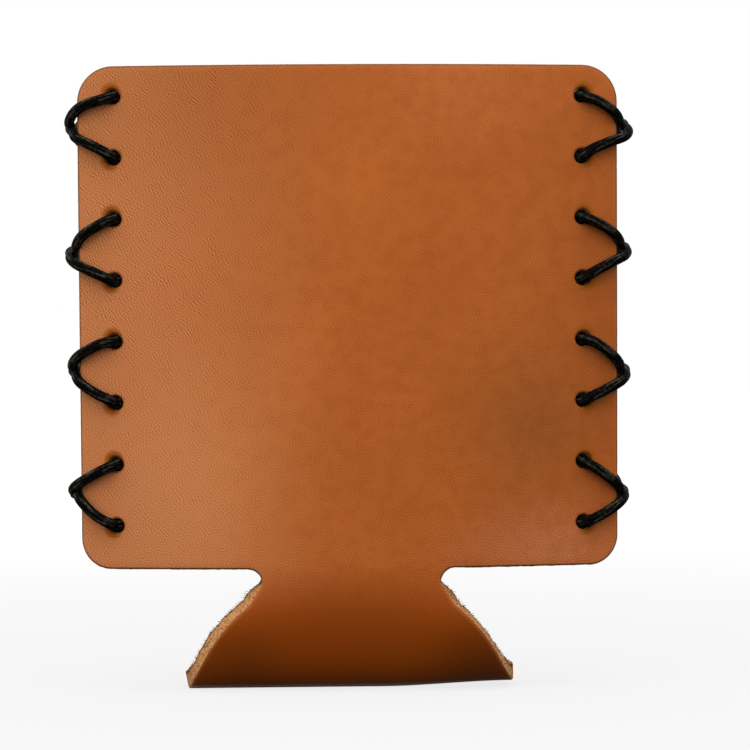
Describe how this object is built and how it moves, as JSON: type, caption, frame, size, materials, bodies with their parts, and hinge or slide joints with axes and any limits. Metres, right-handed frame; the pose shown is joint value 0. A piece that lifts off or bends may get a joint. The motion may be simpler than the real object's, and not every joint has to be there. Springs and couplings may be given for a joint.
{
  "type": "leather can sleeve",
  "caption": "Flat-folding leather sleeve that holds a drinks can: a bent leather blank with front and back panels, laced together down the sides with crossing black elastic.",
  "frame": {"origin": "on the hinge line of the fold, at the middle of the flat foot that the sleeve stands on", "axes": "+Z from the fold to the mouth, +X across the panels to the viewer's right, -Y towards the viewer, out of the front panel"},
  "size_m": [0.1085, 0.0244, 0.1172],
  "materials": {
    "cognac_leather": "smooth vegetable-tanned grain with a soft satin sheen, raw cut edges, rough flesh side",
    "black_elastic": "braided black elastic cord, matt with a faint sheen"
  },
  "bodies": {
    "back": {"leather_back": "cognac_leather", "lace_left": "black_elastic", "lace_right": "black_elastic"},
    "front": {"leather_front": "cognac_leather"}
  },
  "joints": [
    {"name": "mouth_opening", "type": "hinge", "parent": "back", "child": "front", "pos_m": [0, 0, 0], "axis": [1, 0, 0], "range_deg": [0, 12], "stiffness_Nm_per_rad": 0.6, "springref_deg": -2.29, "deforming": ["lace_left", "lace_right"]}
  ]
}
